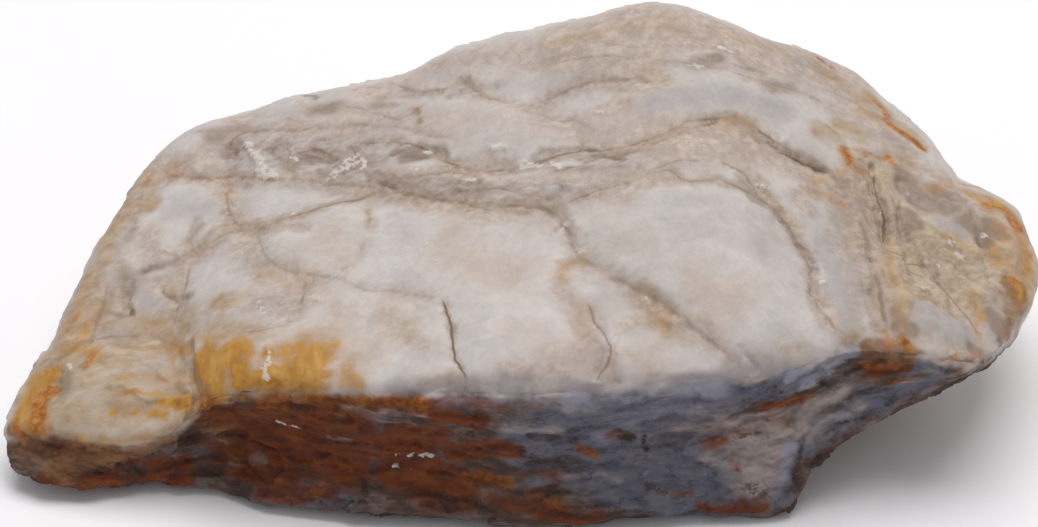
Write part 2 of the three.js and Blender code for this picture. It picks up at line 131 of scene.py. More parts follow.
# Stains and textures, with some painted shade and light, each stroke as (radius in pixels, strength, pixels
# that it passes).
PATCHES = {
    "ochre": [
        (6, 0.8, 243,344, 247,354), (5, 0.9, 318,354, 334,345), (7, 0.8, 288,387, 326,388),
        (8, 0.4, 196,341, 222,337), (7, 0.35, 296,346, 322,340), (5, 0.6, 193,356, 198,386),
        (2.6, 0.5, 122,378, 156,377, 186,386), (2.2, 0.6, 146,345, 170,358, 190,386),
        (2.2, 0.6, 160,338, 182,358, 198,390), (5, 0.5, 174,402, 194,406), (10, 0.7, 30,428, 38,402, 50,372),
        (5, 0.4, 60,433, 110,443, 152,438), (7, 0.4, 655,308, 668,322), (9, 0.5, 986,246, 998,262),
        (6, 0.45, 1012,262, 1016,290), (6, 0.4, 1000,226, 1010,236), (6, 0.4, 812,182, 850,172),
        (7, 0.35, 930,190, 952,182), (8, 0.3, 950,234, 970,252), (6, 0.35, 968,290, 978,320),
        (8, 0.35, 60,345, 88,322), (7, 0.35, 72,322, 80,305), (5, 0.3, 96,250, 118,212),
        (6, 0.35, 150,330, 176,338), (5, 0.3, 198,254, 206,248), (4, 0.35, 228,184, 232,200),
        (8, 0.3, 575,264, 562,276), (8, 0.4, 345,362, 356,380), (7, 0.25, 890,240, 900,300, 906,332),
        (9, 0.7, 996,204, 1010,214, 1022,228), (10, 0.4, 80,335, 98,312), (10, 0.35, 1005,240, 1020,262),
        (22, 0.32, 206,352, 246,346), (17, 0.3, 292,356, 330,348), (4, 0.3, 722,121, 748,124, 754,136),
        (3, 0.75, 120,397, 150,391, 184,394), (8, 0.55, 1019,236, 1025,262, 1021,298),
        (6, 0.5, 12,428, 24,440), (9, 0.5, 972,196, 990,204), (15, 1, 207,356, 212,380),
        (15, 1, 234,350, 238,378), (10, 1, 248,383, 268,382), (12, 1, 282,378, 298,362),
        (12, 1, 302,368, 318,354), (8, 0.7, 14,426, 24,404, 38,380), (8, 0.6, 344,366, 352,382),
        (2.4, 0.9, 110,412, 140,415, 166,415), (3.5, 0.5, 112,413, 190,412),
        (9, 0.7, 262,354, 288,350, 304,346), (8, 0.6, 166,350, 188,352), (10, 0.5, 70,346, 94,356),
        (7, 0.9, 168,404, 186,402), (9, 1.2, 266,372, 286,374), (8, 0.9, 316,374, 332,372),
    ],
    "orange": [
        (8, 1, 30,426, 37,404, 44,384), (6, 0.9, 44,384, 52,370), (6, 0.9, 26,436, 44,431),
        (4, 0.45, 56,340, 70,326, 80,312), (3.5, 0.45, 143,186, 152,172), (3, 0.35, 162,164, 188,172),
        (4, 0.7, 183,404, 204,402), (6, 0.5, 240,382, 262,386), (5, 0.6, 272,389, 300,389, 336,392),
        (6, 0.4, 332,380, 350,386), (4, 0.7, 820,60, 834,70), (6, 0.9, 862,92, 884,114),
        (6, 0.9, 888,120, 920,147), (5, 0.45, 884,182, 894,184), (5, 0.9, 960,184, 986,192),
        (5, 0.8, 984,204, 992,212), (8, 1, 1002,212, 1020,228), (5, 0.9, 1026,226, 1032,246),
        (6, 0.7, 1024,256, 1030,270), (6, 0.7, 1012,280, 1020,304), (4, 0.45, 968,315, 976,334),
        (5, 0.45, 984,345, 976,358), (6, 0.7, 880,328, 888,344), (5, 0.8, 904,341, 913,353),
        (2.2, 0.8, 868,378, 905,380, 930,374), (2.2, 0.6, 900,366, 940,358, 960,356),
        (4, 0.8, 722,440, 738,436, 754,428), (4, 0.8, 768,409, 790,401, 814,396), (4, 0.8, 736,462, 739,474),
        (3, 0.6, 766,490, 778,484), (5, 0.6, 532,492, 560,500), (5, 0.6, 326,410, 346,412),
        (6, 0.5, 404,437, 430,428), (3, 0.5, 505,446, 515,444), (3, 0.5, 508,410, 522,408),
        (6, 0.6, 990,188, 1008,200), (5, 0.6, 1012,242, 1016,258), (4, 0.9, 985,204, 991,211),
        (4, 0.4, 828,195, 846,208), (5, 0.6, 860,150, 884,156, 892,164), (6, 0.6, 846,166, 858,172),
        (5, 0.7, 1022,250, 1024,262), (5, 0.6, 1010,290, 1016,304), (4, 0.8, 84,368, 92,359),
        (4, 0.6, 95,355, 101,349), (5, 0.45, 34,442, 66,447, 108,453), (2.2, 0.5, 165,174, 215,178, 240,177),
        (4, 0.7, 1029,250, 1030,268), (5, 0.9, 362,402, 398,401, 425,404), (6, 0.9, 845,148, 850,168),
        (6, 0.6, 262,380, 284,381), (10, 1.8, 1003,214, 1013,224), (8, 1.6, 44,408, 50,394),
        (6, 1.5, 12,428, 20,434), (6, 1.3, 262,405, 308,403, 350,404, 420,404), (7, 1.5, 200,402, 216,404),
        (7, 0.9, 470,478, 510,482), (5, 1.4, 580,448, 598,454), (5, 0.8, 866,365, 892,364),
    ],
    "rust": [
        (30, 1, 235,432, 340,440), (14, 1, 350,455, 430,436), (8, 0.9, 455,452, 516,449),
        (9, 0.8, 430,412, 480,424), (9, 0.7, 500,502, 560,508), (5, 0.9, 706,443, 752,431, 775,412),
        (5, 0.9, 768,404, 815,398), (10, 0.8, 60,455, 130,462), (5, 0.6, 500,404, 540,406),
        (5, 0.7, 610,432, 632,438), (6, 0.5, 520,470, 560,476), (12, 0.6, 30,450, 100,455),
        (8, 0.6, 430,400, 500,406), (5, 0.45, 700,500, 738,504), (4, 0.35, 660,492, 700,496),
        (9, 1, 60,486, 108,486), (20, 0.9, 250,458, 350,466), (8, 0.6, 540,514, 600,518),
        (7, 0.7, 130,478, 190,480), (8, 1, 200,410, 262,410), (8, 0.8, 392,430, 440,430),
        (18, 1, 400,468, 458,486), (8, 0.3, 480,474, 520,490), (9, 1, 262,406, 340,404, 420,404),
        (8, 0.8, 148,470, 186,462), (12, 1, 52,482, 110,484), (8, 0.5, 424,506, 470,508),
        (6, 0.9, 866,367, 905,367), (5, 1.3, 735,436, 760,428), (8, 0.7, 706,507, 760,508),
        (8, 0.7, 262,492, 330,494), (6, 0.8, 726,446, 740,442),
    ],
    "slate": [
        (38, 1, 600,440, 640,460, 710,474), (24, 1, 560,414, 640,412, 720,402),
        (14, 1, 700,398, 780,388, 850,352), (8, 1, 788,450, 786,480), (12, 0.8, 515,430, 545,452),
        (12, 0.8, 640,500, 720,510), (12, 0.8, 860,400, 940,378), (8, 0.6, 512,462, 560,470),
        (12, 0.6, 470,402, 560,404), (12, 0.7, 600,490, 640,500), (14, 0.7, 740,500, 775,495),
        (10, 0.5, 450,400, 500,404), (8, 0.6, 905,372, 960,366), (8, 0.4, 120,468, 170,470),
        (14, 0.8, 812,440, 850,414, 880,400), (6, 0.4, 450,424, 520,432), (6, 0.3, 360,424, 400,422),
        (12, 0.6, 266,488, 345,497), (8, 0.6, 356,452, 376,462), (8, 0.7, 196,450, 216,440),
        (8, 0.4, 500,480, 540,484),
    ],
    "pale": [
        (10, 0.8, 735,426, 775,420), (10, 0.7, 790,420, 835,398), (7, 0.5, 695,412, 725,416),
        (4, 0.35, 375,412, 425,413), (4, 0.3, 500,425, 530,420), (5, 0.3, 200,430, 225,440),
        (5, 0.3, 230,462, 262,465), (5, 0.4, 18,452, 50,468), (4, 0.35, 345,410, 360,408),
        (4, 0.35, 330,436, 350,440), (9, 0.5, 710,456, 735,468), (8, 0.4, 840,420, 860,404),
        (20, 1, 752,442, 757,470), (10, 0.8, 770,430, 800,424), (5, 0.4, 500,428, 560,432),
        (4, 0.4, 560,476, 620,480), (10, 0.45, 812,434, 832,414), (7, 0.4, 905,382, 950,368, 972,360),
        (9, 0.3, 700,408, 735,412), (8, 0.25, 640,440, 680,442), (9, 0.5, 680,428, 724,426),
        # The stroke from 350,503 to 420,508 is painted light: it lightens the bottom edge, which lies in
        # shade.
        (7, 0.4, 515,404, 570,404), (8, 0.15, 350,503, 420,508), (7, 0.2, 500,480, 540,482),
    ],
    "sand": [
        (24, 1, 872,195, 900,245, 935,300), (26, 1, 930,240, 965,290), (22, 0.9, 985,230, 1000,285),
        (12, 0.8, 852,215, 872,300), (18, 0.7, 860,160, 900,170), (7, 0.7, 765,190, 800,230),
        (6, 0.7, 812,270, 822,300), (10, 0.6, 60,372, 66,395), (10, 0.6, 120,270, 128,310),
        (9, 0.7, 658,302, 674,324), (12, 0.8, 840,182, 846,230),
    ],
    "band": [
        (9, 1, 370,178, 430,186, 480,192), (8, 1, 400,150, 440,156), (8, 0.8, 540,155, 600,152),
        (7, 0.7, 590,160, 650,150), (9, 0.9, 226,148, 236,170), (8, 0.6, 380,98, 480,92),
        (7, 0.6, 690,60, 760,72), (14, 1, 282,148, 310,160, 350,172), (12, 0.8, 320,150, 380,160),
        (8, 0.6, 240,150, 262,146), (7, 0.5, 500,170, 560,168), (9, 1, 480,186, 560,190),
        (5, 0.7, 770,148, 800,160, 830,171), (6, 0.7, 575,158, 640,152), (11, 0.8, 262,164, 318,168),
        (8, 0.6, 560,170, 640,164), (8, 0.6, 300,142, 342,142),
    ],
    "tan": [
        (20, 1, 830,80, 900,150), (22, 1, 650,60, 600,70), (16, 1, 640,150, 760,150),
        (12, 1, 700,135, 750,140), (18, 0.5, 300,110, 440,115), (20, 1, 120,220, 96,270, 70,330, 50,360),
        (12, 0.8, 150,320, 175,345), (14, 0.3, 300,330, 360,360),
        (14, 1, 210,150, 300,152, 380,172, 480,190), (12, 0.8, 340,190, 480,212),
        (12, 0.8, 560,290, 590,330, 580,360), (14, 0.6, 510,370, 600,362), (10, 0.6, 225,235, 300,215),
        (26, 1, 860,190, 900,260, 920,320), (26, 1, 930,180, 980,260, 960,340),
        (14, 1, 770,160, 830,190, 840,260), (12, 0.8, 560,190, 620,190),
        (14, 0.8, 210,245, 150,290, 100,300), (9, 0.6, 575,120, 578,150), (10, 0.6, 415,110, 430,130),
        (14, 0.9, 150,165, 200,160), (12, 0.6, 750,362, 800,352), (16, 0.8, 850,226, 858,300),
        (14, 0.6, 840,110, 870,130), (14, 0.6, 110,180, 140,200), (14, 0.8, 836,112, 866,130),
        (9, 0.7, 505,180, 560,180), (14, 0.9, 610,32, 670,36, 730,50, 790,72),
        (20, 0.8, 96,275, 120,320, 170,318), (18, 0.6, 190,316, 262,330), (12, 0.7, 160,280, 176,312),
        (8, 0.7, 600,150, 670,134, 730,120), (12, 0.4, 400,290, 420,305), (9, 0.5, 640,300, 690,340),
        (20, 0.6, 205,168, 232,200, 240,246), (18, 0.75, 244,248, 266,270, 305,280, 298,302, 246,306),
        (14, 0.7, 148,236, 150,256), (16, 0.8, 146,190, 140,206), (15, 0.7, 104,332, 150,354),
        (28, 0.35, 320,128, 440,118, 570,126), (20, 0.4, 330,222, 340,262), (14, 0.5, 490,220, 545,224),
        (16, 0.5, 620,92, 690,92), (14, 0.5, 330,300, 344,312), (30, 1, 560,44, 640,22, 740,45, 830,75),
        (22, 0.6, 430,66, 540,50), (14, 0.55, 384,318, 426,346), (9, 1.2, 842,316, 852,334),
        (9, 1.2, 846,288, 850,308), (12, 1.2, 812,190, 850,196), (24, 0.6, 540,120, 600,135, 650,120),
        (14, 0.8, 430,172, 500,166), (14, 0.8, 556,172, 630,172), (14, 0.7, 590,196, 630,196),
        (14, 0.9, 300,146, 310,168), (12, 0.8, 236,120, 250,118), (12, 0.8, 362,92, 376,92),
        (12, 1.2, 745,62, 822,70), (9, 1.2, 822,288, 832,312), (9, 1.1, 648,183, 674,178),
        (9, 1.2, 872,316, 880,332), (10, 1, 600,111, 624,106), (8, 1, 262,231, 306,226),
        (9, 1, 746,174, 766,188), (10, 1, 288,134, 312,130), (8, 1.1, 962,202, 980,208),
        (8, 0.9, 628,326, 646,322), (9, 0.9, 798,196, 808,212), (11, 1.9, 896,203, 932,206),
        (11, 1.9, 146,188, 164,174), (9, 1.8, 218,233, 256,226), (10, 1.7, 914,226, 934,232),
        (11, 1.6, 624,87, 660,82), (10, 1.2, 340,134, 360,132),
    ],
    "murk": [
        (4, 0.7, 416,112, 420,124), (6, 0.7, 465,80, 470,90), (6, 0.9, 118,316, 128,314),
        (4, 0.8, 98,318, 104,328), (5, 0.6, 188,294, 186,304), (5, 0.9, 52,364, 80,345),
        (8, 0.7, 58,374, 64,392), (8, 0.9, 902,178, 912,198, 932,206), (4, 0.9, 882,200, 886,224),
        (4, 0.8, 744,182, 756,196, 775,215), (6, 0.5, 860,230, 866,240), (5, 0.6, 870,290, 884,312),
        (4, 0.9, 594,156, 626,158), (8, 0.6, 126,276, 132,290), (5, 0.5, 196,220, 190,240),
        (10, 0.5, 600,352, 612,372), (4, 0.8, 300,92, 316,98), (5, 0.5, 370,104, 400,106),
        (4, 0.7, 640,76, 646,80), (5, 0.6, 1000,292, 1010,310), (4, 0.7, 968,200, 974,214),
        (5, 0.7, 110,296, 100,316), (5, 0.6, 200,226, 192,240), (5, 0.6, 136,228, 126,244),
        (4, 0.6, 400,186, 430,198), (5, 0.5, 560,206, 574,224), (4, 0.6, 806,262, 812,288),
        (6, 0.5, 858,200, 862,222), (4, 0.8, 300,152, 318,158), (4, 0.7, 366,184, 392,192),
        (4, 0.7, 426,156, 452,162), (8, 0.8, 900,172, 908,188, 920,200, 945,206), (7, 1, 226,154, 236,144),
        (8, 0.9, 314,152, 334,160), (5, 0.6, 395,152, 448,158), (4, 0.6, 470,180, 500,190),
        (4, 0.5, 268,150, 284,170), (9, 0.5, 1004,296, 1016,318, 1004,334), (7, 0.4, 846,236, 856,262),
        (3, 0.6, 786,156, 806,164, 828,171), (11, 0.8, 908,180, 924,200, 948,206),
        (3, 0.6, 164,292, 170,298), (4, 0.5, 752,135, 778,155), (12, 0.5, 846,190, 852,225),
        (10, 0.6, 905,214, 914,226), (12, 0.8, 938,190, 954,200), (9, 0.7, 972,212, 982,228),
        (8, 0.4, 100,328, 118,340), (7, 1.6, 940,193, 948,197), (8, 1.1, 908,214, 916,228),
        (8, 1.1, 972,214, 982,228), (8, 0.8, 972,348, 984,352), (10, 0.5, 108,322, 116,344),
        (9, 1.3, 990,222, 1000,234), (10, 1, 216,135, 238,130), (9, 1.1, 990,316, 1002,332),
        (10, 1.6, 966,224, 978,236), (10, 0.9, 408,158, 432,154), (9, 1.1, 892,318, 908,330),
        (10, 0.7, 314,110, 334,106), (10, 0.7, 770,86, 790,84), (10, 1, 700,62, 716,60),
        (9, 1, 508,206, 526,204), (9, 0.4, 482,86, 502,84),
    ],
    # Painted shade: a mauve-grey band on the top just above the brow, where the surface turns down away from
    # the light.
    "brow_shade": [
        (11, 1, 730,376, 762,366, 785,370), (5, 0.6, 200,396, 230,392), (6, 0.5, 345,392, 400,388),
        (8, 0.6, 735,360, 750,372), (7, 0.9, 640,387, 680,383, 730,378),
        (5, 0.9, 785,373, 805,371, 832,360, 850,345), (8, 0.9, 390,397, 460,396, 540,396, 590,394),
        (6, 1, 395,390, 470,390, 540,391, 600,389), (9, 1, 480,392, 560,393), (9, 0.3, 546,378, 600,372),
        (9, 1, 400,388, 440,384, 520,383, 575,386),
    ],
    "ridge": [
        (7, 0.9, 884,178, 892,225, 899,275, 905,335), (8, 0.8, 955,196, 972,245, 985,300),
        (5, 0.7, 915,225, 930,275, 945,300), (8, 0.8, 1000,215, 1015,250, 1012,290),
        (7, 0.8, 98,300, 112,275, 135,258, 165,243), (14, 0.8, 925,320, 955,330),
        (6, 0.6, 846,178, 856,230, 866,290), (3, 0.6, 150,250, 178,253), (3, 0.6, 112,385, 150,398, 190,400),
        (3, 0.5, 140,362, 170,378, 192,392), (4, 0.7, 60,378, 84,366, 102,348),
        (5, 0.6, 196,342, 204,372, 208,392), (4, 0.7, 248,144, 260,170), (4, 0.8, 334,172, 356,158),
        (5, 0.6, 646,302, 668,322),
    ],
    "sink": [
        (3.5, 1, 867,165, 877,200, 884,240), (3, 1, 896,205, 902,222, 910,240),
        (4, 0.8, 922,240, 930,262, 940,285), (4, 0.8, 871,263, 884,265, 892,285),
        (10, 0.7, 915,200, 945,212), (4, 0.8, 970,202, 977,225, 985,245),
        (4, 0.9, 126,315, 128,292, 142,273, 178,262), (5, 0.8, 98,322, 106,316, 128,316),
        (4, 0.8, 50,366, 66,352, 84,344), (5, 0.6, 985,292, 1008,312), (4, 0.7, 160,290, 176,302, 190,296),
        (5, 0.7, 190,346, 192,372, 198,392), (4, 0.7, 228,146, 238,160), (4, 0.7, 318,150, 334,158),
        (3, 0.8, 776,212, 797,243, 811,262, 810,290), (4, 0.6, 740,346, 752,372), (5, 0.6, 605,350, 598,376),
        (5, 0.7, 904,180, 914,198, 934,208), (4, 0.4, 752,134, 790,158, 826,172),
    ],
    # Painted light: a paler blue-grey where sky light falls on the front face below the brow and on one
    # facet.
    "painted_sky_light": [
        (8, 0.4, 440,401, 500,403, 550,403), (8, 0.8, 570,402, 620,400, 680,394, 740,386),
        (6, 0.9, 790,380, 830,365, 856,354), (8, 0.9, 786,448, 784,480), (8, 0.4, 820,395, 850,374),
        (10, 0.45, 600,438, 660,442, 700,446), (8, 0.35, 600,416, 630,424),
        (12, 0.6, 630,414, 680,410, 730,410), (8, 0.8, 806,384, 826,374),
    ],
    "umber": [
        (8, 1, 16,432, 50,446, 90,452, 135,456, 175,440), (8, 0.9, 60,462, 110,464),
        (7, 0.9, 186,414, 204,400, 240,394), (8, 0.9, 215,398, 300,396, 345,398), (6, 0.7, 345,398, 420,402),
        (8, 0.8, 20,446, 40,462), (9, 0.6, 860,360, 900,358), (6, 0.6, 930,366, 975,362),
        (12, 0.5, 205,425, 225,432), (10, 0.9, 30,455, 70,470), (6, 0.5, 995,340, 1010,325),
        # The stroke from 486,395 to 556,396 is brown stain and painted shade: it darkens the lit lip of the
        # brow.
        (9, 0.8, 8,434, 14,448, 32,458), (5, 0.35, 55,484, 105,487), (4, 0.4, 486,395, 556,396),
        (8, 0.5, 1008,292, 1016,312, 1004,332), (9, 1.2, 872,350, 912,354), (6, 1, 194,398, 212,394),
        (8, 0.6, 770,420, 790,420), (9, 1.5, 1014,288, 1022,308),
    ],
    "warm": [
        (26, 1, 60,362, 110,386, 185,382), (22, 1, 50,405, 120,416, 185,405), (18, 1, 32,395, 36,436),
        (12, 0.8, 60,335, 88,290, 106,240, 132,196), (14, 0.7, 120,345, 190,338),
        (16, 0.5, 192,330, 244,330), (12, 0.4, 262,338, 330,335), (12, 0.6, 350,366, 356,384),
        (10, 0.4, 575,300, 585,340), (12, 0.7, 645,295, 672,328), (22, 1, 870,180, 893,240, 905,310),
        (24, 1, 940,240, 975,300), (22, 1, 1000,210, 1020,250, 1010,305), (14, 0.6, 850,158, 905,162),
        (9, 0.9, 866,96, 920,142), (8, 0.6, 725,125, 755,130), (10, 0.7, 955,190, 1000,205),
        (12, 0.5, 150,180, 175,168), (10, 0.5, 820,70, 850,90), (5, 0.5, 230,220, 270,224, 306,212),
        (5, 0.4, 500,210, 560,208), (6, 0.5, 370,196, 368,226), (6, 0.4, 640,62, 668,84),
        (7, 0.4, 565,280, 562,262, 585,262), (5, 0.5, 590,154, 640,152), (5, 0.4, 650,183, 715,182),
        (5, 0.5, 795,230, 808,262), (8, 0.4, 415,110, 425,126), (10, 0.5, 960,320, 985,350),
        (6, 0.4, 620,345, 650,370), (14, 0.6, 88,338, 100,308), (20, 0.7, 130,360, 160,372),
        (14, 0.35, 560,42, 640,24, 700,27, 780,52), (8, 0.5, 226,224, 256,232),
        (18, 0.5, 84,300, 130,322, 182,318), (8, 0.6, 172,288, 180,306),
        (5, 0.5, 600,154, 650,146, 700,124, 740,122), (14, 0.3, 390,300, 412,340),
        (14, 0.5, 266,272, 300,284), (6, 0.5, 642,78, 654,80), (9, 0.8, 842,142, 856,168),
        (12, 0.8, 140,168, 146,206), (12, 0.6, 74,346, 110,350), (8, 0.8, 846,320, 852,332),
        (10, 0.7, 812,192, 846,198), (8, 0.7, 426,380, 470,380), (14, 0.7, 136,326, 186,326),
        (12, 0.7, 862,110, 890,124), (10, 1, 844,126, 862,138), (10, 1, 218,302, 238,298),
        (10, 0.9, 820,130, 838,134), (11, 1.5, 144,351, 168,346),
    ],
    "cool": [
        (15, 1, 925,318, 955,330), (9, 0.9, 825,240, 838,290, 848,322), (10, 0.6, 995,296, 985,325),
        (12, 0.5, 290,192, 350,188), (14, 0.5, 170,215, 205,208), (10, 0.6, 140,290, 150,305),
        (14, 0.4, 640,200, 720,200), (8, 0.7, 236,160, 250,166), (8, 0.6, 835,215, 838,235),
        (10, 0.5, 852,262, 860,305), (15, 0.7, 650,104, 710,94, 780,108), (9, 0.8, 944,224, 960,232),
    ],
    "frost": [
        (4.5, 1, 248,144, 256,156, 264,172), (5.5, 1, 260,172, 272,177), (3, 0.9, 361,158, 363,168),
        (2.5, 0.9, 489,149, 507,146), (3, 1, 522,162, 538,163), (3.5, 1, 548,163, 562,166),
        (3, 0.9, 461,183, 474,180), (3, 0.7, 412,256, 425,245, 436,240), (3, 0.7, 432,262, 444,256),
        (2.5, 1, 265,350, 269,376), (3, 1, 229,394, 242,394), (2.5, 1, 394,456, 412,452, 432,453),
        (2.5, 0.9, 394,468, 408,470), (2, 0.9, 342,466, 345,468),
        (1.3, 1, 247,408, 262,413, 284,424, 306,431), (4, 0.8, 648,302, 660,312),
        (2.5, 0.8, 592,112, 600,113), (3, 0.9, 694,62, 704,68), (2.5, 0.8, 712,44, 728,52),
        (2.5, 0.7, 410,168, 424,170), (2, 0.9, 424,152, 430,154), (2, 0.7, 140,250, 148,250),
        (2, 0.8, 176,252, 182,253), (3, 0.8, 258,302, 262,312), (3, 0.8, 776,136, 782,140),
        (3, 0.7, 763,186, 770,190), (2, 0.7, 272,212, 296,210), (4, 0.7, 889,212, 896,232),
        (4, 0.7, 950,236, 962,256), (3, 0.7, 938,262, 950,268), (3.5, 0.7, 918,284, 930,292),
        (3, 0.6, 292,158, 306,164), (2.5, 0.7, 812,268, 820,282), (3, 0.6, 968,238, 985,230),
        (5, 1, 336,176, 349,166, 355,156), (3, 0.8, 490,150, 508,147), (3.5, 0.9, 540,163, 560,165),
        (3, 0.8, 462,184, 476,180), (3, 0.5, 67,366, 70,374), (2.5, 0.5, 122,262, 140,252),
    ],
    "dark": [
        (5, 1, 614,429, 630,436), (2.5, 1, 646,430, 647,446), (4, 0.9, 650,487, 662,491),
        (3, 0.9, 366,478, 368,505), (4, 0.9, 196,438, 200,436), (6, 0.9, 85,472, 130,470),
        (5, 0.7, 520,445, 540,458), (3, 0.8, 740,386, 780,392), (3, 0.8, 794,502, 804,440),
        (5, 0.7, 140,462, 190,440), (5, 0.6, 440,500, 520,506), (3, 0.9, 903,182, 906,190),
        (4, 0.7, 360,425, 408,423), (3, 0.7, 528,434, 576,438), (4, 0.6, 22,440, 60,452),
        (3, 0.6, 866,300, 868,306), (5, 0.5, 205,404, 250,402), (4, 0.6, 738,440, 762,434),
        (4, 0.5, 742,401, 785,402), (8, 0.6, 746,490, 766,494),
    ],
}

# ---- Repeatable noise ----

random = np.random.default_rng(7)
TABLE_SIZE = 256
DIRECTIONS = random.normal(size=(TABLE_SIZE, 3))
DIRECTIONS /= np.linalg.norm(DIRECTIONS, axis=1)[:, None]
JITTERS = random.random((TABLE_SIZE, 3))
AXIS_PRIMES = (73856093, 19349663, 83492791)
SEED_PRIME, MIX_PRIME = 2654435761, 2246822519
WORD = 0xFFFFFFFF
GRID_SHIFT = 31.7  # cells: moves the grid off the stone's own middle
NOISE_GAIN = 1.7


def smoothstep(low, high, value):
    share = np.clip((value - low) / (high - low), 0, 1)
    return share * share * (3 - 2 * share)


def hashed(cells, seed):
    """A repeatable whole number for each cell of a grid."""
    x, y, z = (cells * AXIS_PRIMES).T
    mixed = x ^ y ^ z ^ (seed * SEED_PRIME)
    mixed = (mixed ^ (mixed >> 15)) * MIX_PRIME & WORD
    return (mixed ^ (mixed >> 13)) & WORD


def noise(points, size, seed):
    """Smooth gradient noise from about -1 to 1, with lumps of that size."""
    places = points / size + GRID_SHIFT
    cells = np.floor(places).astype(np.int64)
    inside = places - cells
    ease = inside ** 3 * (inside * (inside * 6 - 15) + 10)
    total = np.zeros(len(points))
    for corner in itertools.product((0, 1), repeat=3):
        direction = DIRECTIONS[hashed(cells + corner, seed) % TABLE_SIZE]
        x, y, z = (ease[:, i] if corner[i] else 1 - ease[:, i] for i in range(3))
        total += x * y * z * np.einsum("ij,ij->i", direction, inside - corner)
    return total * NOISE_GAIN


def fractal(points, size, octaves, seed):
    return sum(noise(points, size / 2 ** k, seed + k) / 2 ** k for k in range(octaves))


def facets(points, size, seed):
    """Flat chips: each cell of a random pattern is a plane with a tilt of its own."""
    places = points / size
    cells = np.floor(places).astype(np.int64)
    nearest = np.full(len(points), np.inf)
    height = np.zeros(len(points))
    for corner in itertools.product((-1, 0, 1), repeat=3):
        cell = cells + corner
        number = hashed(cell, seed)
        away = places - cell - JITTERS[number % TABLE_SIZE]
        distance = np.einsum("ij,ij->i", away, away)
        closer = distance < nearest
        tilt = DIRECTIONS[(number >> 8) % TABLE_SIZE]
        height = np.where(closer, np.einsum("ij,ij->i", away, tilt), height)
        nearest = np.where(closer, distance, nearest)
    return height


# ---- The stone's smooth form, from the CAD solid ----

WELD = 0.001  # millimetres between corners that are one
VOXEL = 0.42
SMOOTHING_ROUNDS = 36
FINAL_TRIANGLES = 196000


def bake_modifiers(piece):
    """Puts what the piece's modifiers make into its mesh."""
    shown = piece.evaluated_get(bpy.context.evaluated_depsgraph_get())
    mesh = bpy.data.meshes.new_from_object(shown)
    piece.modifiers.clear()
    piece.data = mesh


def fine_copy(node, name):
    """The node's form as an even, fine mesh."""
    piece = bpy.data.objects.new(name, node.data.copy())
    piece.data.materials.clear()
    bpy.context.scene.collection.objects.link(piece)
    piece.modifiers.new("weld", "WELD").merge_threshold = WELD * MM
    remesh = piece.modifiers.new("remesh", "REMESH")
    remesh.mode = "VOXEL"
    remesh.voxel_size = VOXEL * MM
    bake_modifiers(piece)
    return piece


def points_of(mesh):
    flat = np.zeros(len(mesh.vertices) * 3)
    mesh.vertices.foreach_get("co", flat)
    return flat.reshape(-1, 3) / MM


def normals_of(mesh):
    flat = np.zeros(len(mesh.vertices) * 3, np.float32)
    mesh.vertex_normals.foreach_get("vector", flat)
    return flat.reshape(-1, 3).astype(float)


def set_points(mesh, points):
    mesh.vertices.foreach_set("co", (points * MM).astype(np.float32).ravel())
    mesh.update()


def averaged(points, edges, rounds):
    """The points after some rounds of moving each half way to the middle of its neighbours."""
    count = np.bincount(edges.ravel(), minlength=len(points))
    for _ in range(rounds):
        middle = np.empty_like(points)
        for axis in range(3):
            along = points[:, axis]
            total = np.bincount(edges[:, 0], along[edges[:, 1]], len(points))
            total += np.bincount(edges[:, 1], along[edges[:, 0]], len(points))
            middle[:, axis] = total / count
        points = (points + middle) / 2
    return points


def soften(mesh):
    """Takes the CAD facets away. Smoothing the loss as well puts back what is lost of the larger forms."""
    edges = np.zeros(len(mesh.edges) * 2, np.int32)
    mesh.edges.foreach_get("vertices", edges)
    edges = edges.reshape(-1, 2)
    points = points_of(mesh)
    soft = averaged(points, edges, SMOOTHING_ROUNDS)
    soft += averaged(points - soft, edges, SMOOTHING_ROUNDS)
    soft[:, 2] = np.maximum(soft[:, 2], 0)
    set_points(mesh, soft)


# ---- Lines and patches on the stone ----

LINE_STEP, PATCH_STEP = 8, 14  # pixels between the points of a seam and of a stroke
INWARD = np.array([519.0, 300.0])  # a pixel well inside the stone's outline
STEPS_INWARD = 60


def smooth_path(numbers, step):
    """A Catmull-Rom curve through the pixels x, y, x, y and so on, as points about one step apart."""
    pixels = np.reshape(numbers, (-1, 2)).astype(float)
    ends = np.vstack([2 * pixels[0] - pixels[1], pixels, 2 * pixels[-1] - pixels[-2]])
    path = []
    for a, b, c, d in zip(ends, ends[1:], ends[2:], ends[3:]):
        count = max(1, round(np.linalg.norm(c - b) / step))
        for t in np.arange(count) / count:
            path.append(b + t * ((c - a) + t * ((2 * a - 5 * b + 4 * c - d) + t * (3 * (b - c) + d - a))) / 2)
    return path + [pixels[-1]]


class Skin:
    """The smooth stone's surface, on which the photograph's pixels are looked up."""

    def __init__(self, piece):
        self.tree = BVHTree.FromObject(piece, bpy.context.evaluated_depsgraph_get())

    def at(self, pixel):
        """The point and normal seen at a pixel, or at the nearest one inwards that shows the stone."""
        for _ in range(STEPS_INWARD):
            place, normal, _, _ = self.tree.ray_cast(Vector(CAMERA_AT * MM), Vector(ray_through(pixel)))
            if place:
                return np.array(place) / MM, np.array(normal)
            pixel = pixel + (INWARD - pixel) / np.linalg.norm(INWARD - pixel)
        raise ValueError(f"nothing is seen near pixel {pixel}")

    def line(self, numbers, step):
        hits = [self.at(pixel) for pixel in smooth_path(numbers, step)]
        return np.array([place for place, _ in hits]), np.array([normal for _, normal in hits])


def within(points, line, reach):
    return np.flatnonzero(np.all((points > line.min(0) - reach) & (points < line.max(0) + reach), axis=1))


